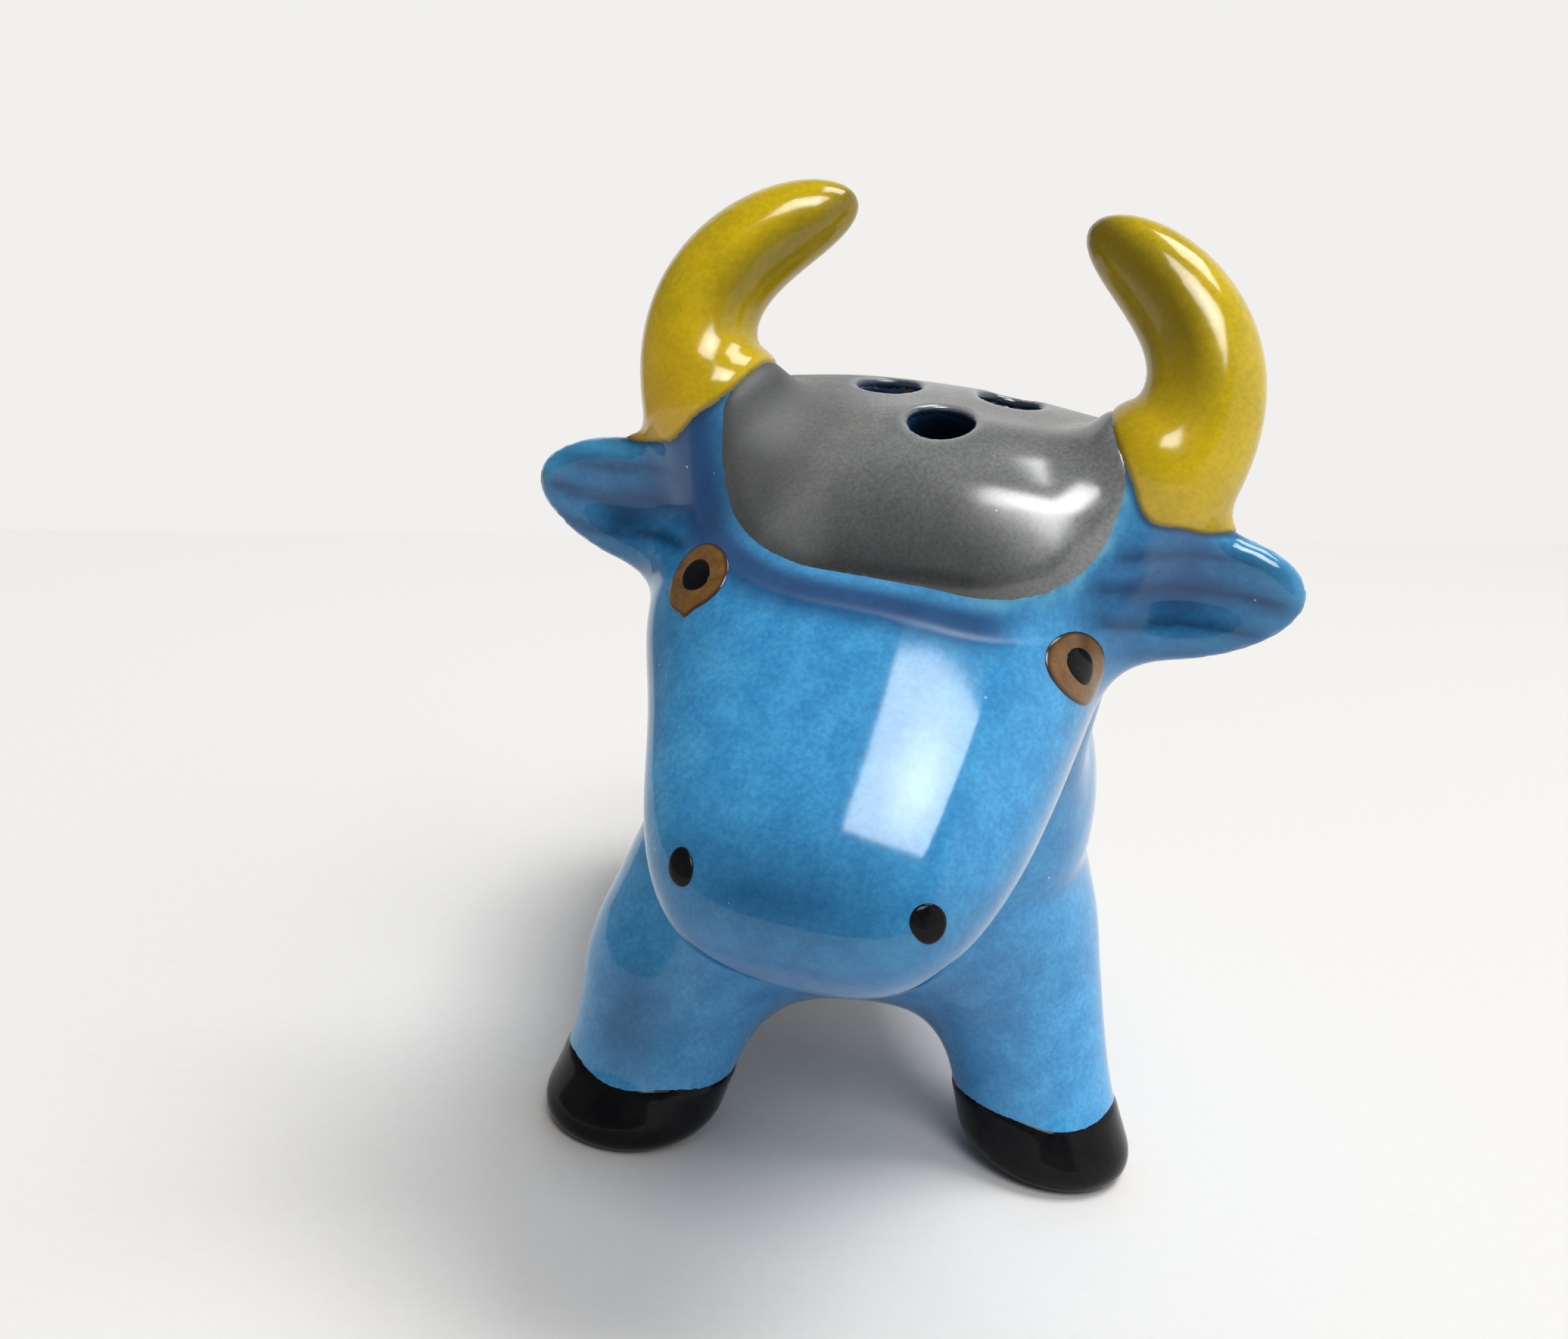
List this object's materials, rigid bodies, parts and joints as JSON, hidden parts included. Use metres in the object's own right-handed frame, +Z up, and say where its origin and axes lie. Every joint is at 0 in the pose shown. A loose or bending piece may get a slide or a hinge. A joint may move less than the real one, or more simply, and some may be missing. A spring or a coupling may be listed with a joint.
{
  "type": "glazed clay bull shaker",
  "caption": "Hollow glazed clay bull that stands on splayed legs, with pour holes in its forelock and a rubber stopper in its belly for salt or pepper.",
  "frame": {"origin": "on the table, under the middle of the bull's overall box", "axes": "+Z is up, the bull faces -Y, and its left side is +X"},
  "size_m": [0.0546, 0.0955, 0.0759],
  "materials": {
    "blue_glaze": "gloss, mottled",
    "grey_glaze": "gloss",
    "yellow_glaze": "gloss",
    "brown_glaze": "gloss",
    "black_glaze": "gloss",
    "rubber": "matt"
  },
  "bodies": {
    "bull": {"torso": "blue_glaze", "head": "blue_glaze", "forelock": "grey_glaze", "horn_left": "yellow_glaze", "horn_right": "yellow_glaze", "ear_left": "blue_glaze", "ear_right": "blue_glaze", "eye_left": "brown_glaze", "eye_right": "brown_glaze", "pupil_left": "black_glaze", "pupil_right": "black_glaze", "nostril_left": "black_glaze", "nostril_right": "black_glaze", "leg_front_left": "blue_glaze", "leg_front_right": "blue_glaze", "leg_hind_left": "blue_glaze", "leg_hind_right": "blue_glaze", "hoof_front_left": "black_glaze", "hoof_front_right": "black_glaze", "hoof_hind_left": "black_glaze", "hoof_hind_right": "black_glaze", "tail": "blue_glaze", "tail_tuft": "black_glaze"},
    "stopper": {"stopper": "rubber"}
  },
  "joints": [
    {"name": "stopper_pull", "type": "slide", "parent": "bull", "child": "stopper", "axis": [0, 0, -1], "range_m": [0, 0.0085]}
  ]
}
